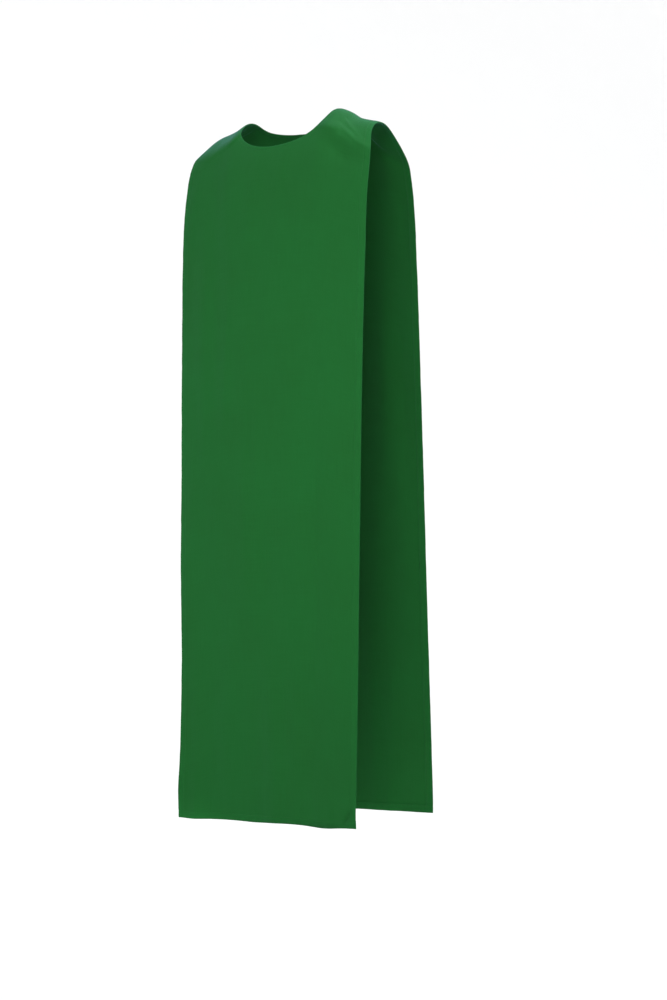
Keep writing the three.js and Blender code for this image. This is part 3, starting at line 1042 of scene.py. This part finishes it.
def sewing_thread():
    """Spun polyester thread, dyed to match: a shade lighter, with a slight gloss from its twist."""
    material, tree = new_material("spun_thread_green")
    solid = add_node(tree, "ShaderNodeTexCoord").outputs["Object"]
    twist = add_node(
        tree, "ShaderNodeTexNoise", values={"Scale": 1 / (TWIST * MM), "Detail": 1.0},
        links={"Vector": solid},
    )
    colour = add_node(
        tree, "ShaderNodeMix", {"data_type": "RGBA"},
        {MIX_A: linear(THREAD_DARK), MIX_B: linear(THREAD_LIGHT)}, {MIX_SHARE: twist.outputs["Fac"]},
    )
    relief = add_node(
        tree, "ShaderNodeBump", values={"Strength": 0.4, "Distance": 0.08 * MM},
        links={"Height": twist.outputs["Fac"]},
    )
    shader = add_node(
        tree, "ShaderNodeBsdfPrincipled",
        values={"IOR": 1.5, "Roughness": 0.7, "Specular IOR Level": 0.15},
        links={"Base Color": colour.outputs[MIXED], "Normal": relief.outputs[0]},
    )
    add_node(tree, "ShaderNodeOutputMaterial", links={"Surface": shader.outputs[0]})
    return material


def studio_paint():
    """Matt white studio paint, lit from within a little so that it reads as plain white paper."""
    material, tree = new_material("matt_white_paint")
    shader = add_node(
        tree, "ShaderNodeBsdfPrincipled",
        values={
            "Base Color": linear("#f2f2f2"), "Roughness": 0.95, "Specular IOR Level": 0.1,
            "Emission Color": linear("#ffffff"), "Emission Strength": 0.12,
        },
    )
    add_node(tree, "ShaderNodeOutputMaterial", links={"Surface": shader.outputs[0]})
    return material


# ---- the studio ----

FLOOR_BELOW_HEM = 280.0
COVE_FLAT = 3000.0  # the floor's radius
COVE_CURVE = 2200.0  # the radius of the bend from floor to wall
COVE_TOP = 4200.0
COVE_FIRST_RING = 200.0
COVE_RINGS = 15
COVE_BENDS = 24
COVE_SIDES = 96
YAW = math.radians(31.3)  # the eye stands this far round to the wearer's left
PITCH = math.radians(2.9)  # and looks up by this much
ROLL = math.radians(0.73)
CAMERA_AWAY = 3260.0
CAMERA_ASIDE = 50.2
CAMERA_HEIGHT = -813.0
LENS = 70.38
SIGHT = 50.0  # how far the camera sees, in metres
AIR_LIGHT = 0.93
# Each softbox: its name, its place, what it points at and its size, in metres, its watts, its spread in
# degrees and its colour.
SOFTBOXES = (
    ("overhead_softbox", (0.9, 0.4, 1.2), (0.0, -0.05, -0.2), (1.2, 1.2), 42, 180, "#f0f8ff"),
    ("front_softbox", (1.0, -2.5, 0.5), (0.0, -0.12, -0.5), (1.0, 1.0), 3.4, 40, "#ffffff"),
)


def add_camera():
    """The eye stands low, about as high as the wearer's thighs, to the wearer's left of straight ahead,
    and looks up a little."""
    level = Vector((-math.sin(YAW), math.cos(YAW), 0))
    right = Vector((math.cos(YAW), math.sin(YAW), 0))
    up = Vector((0, 0, 1))
    ahead = level * math.cos(PITCH) + up * math.sin(PITCH)
    above = up * math.cos(PITCH) - level * math.sin(PITCH)
    turned_right = right * math.cos(ROLL) - above * math.sin(ROLL)
    turned_up = right * math.sin(ROLL) + above * math.cos(ROLL)
    camera = bpy.data.objects.new("camera", bpy.data.cameras.new("camera"))
    camera.data.lens = LENS
    camera.data.clip_end = SIGHT
    turn = Matrix((turned_right, turned_up, -ahead)).transposed()
    place = -CAMERA_AWAY * level + CAMERA_ASIDE * right + CAMERA_HEIGHT * up
    camera.matrix_world = Matrix.Translation(place * MM) @ turn.to_4x4()
    bpy.context.scene.collection.objects.link(camera)
    bpy.context.scene.camera = camera


def add_cove():
    """A round studio floor that curves up into a wall all round: a profile turned about the upright
    axis, flat out to where it bends, then a quarter circle, then straight up."""
    floor = cad_box[0].z / MM - FLOOR_BELOW_HEM
    rings = np.linspace(COVE_FIRST_RING, COVE_FLAT, COVE_RINGS)
    bend = np.linspace(0, math.pi / 2, COVE_BENDS + 1)[1:]
    wall = COVE_FLAT + COVE_CURVE
    radius = np.concatenate([[0], rings, COVE_FLAT + COVE_CURVE * np.sin(bend), [wall]])[:, None]
    height = np.concatenate([[0], 0 * rings, COVE_CURVE * (1 - np.cos(bend)), [COVE_TOP]])[:, None]
    angle = np.linspace(0, 2 * math.pi, COVE_SIDES + 1)[:-1]
    points = np.stack([radius * np.cos(angle), radius * np.sin(angle), floor + height + 0 * angle], -1)
    points = points.reshape(-1, 3)
    index = np.arange(len(points)).reshape(len(radius), len(angle))
    index = np.hstack([index, index[:, :1]])
    cove = make_mesh("studio_cove", points, grid_faces(index, True))
    cove.data.materials.append(studio_paint())


def add_softbox(name, place, aim, size, power, spread, colour):
    """A softbox as a flat light that points at its aim."""
    lamp = bpy.data.lights.new(name, "AREA")
    lamp.spread = math.radians(spread)
    lamp.color = linear(colour)[:3]
    lamp.shape = "RECTANGLE"
    lamp.size, lamp.size_y = size
    lamp.energy = power
    box = bpy.data.objects.new(name, lamp)
    box.location = place
    box.rotation_euler = (Vector(aim) - Vector(place)).to_track_quat("-Z", "Y").to_euler()
    bpy.context.scene.collection.objects.link(box)


def add_light():
    """Even white light from all round, and two softboxes."""
    world = bpy.data.worlds.new("studio_air")
    world.use_nodes = True
    air = world.node_tree.nodes["Background"].inputs
    air["Color"].default_value = (1, 1, 1, 1)
    air["Strength"].default_value = AIR_LIGHT
    bpy.context.scene.world = world
    for softbox in SOFTBOXES:
        add_softbox(*softbox)
    bpy.context.scene.view_settings.view_transform = "Standard"


# ---- the scene ----

add_camera()
cloth = woven_polyester()
thread = sewing_thread()

pieces = {}
for panel in (FRONT, BACK):
    pieces[panel["name"]] = cloth_panel(panel)
    pieces[panel["name"] + "_stitching"] = panel_stitching(panel)
pieces["seam_thread"] = seam_thread()

for name, piece in pieces.items():
    piece.data.materials.append(cloth if name in ("front", "back") else thread)
    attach(piece, "root")
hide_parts("front_panel")
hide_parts("back_panel")

add_cove()
add_light()
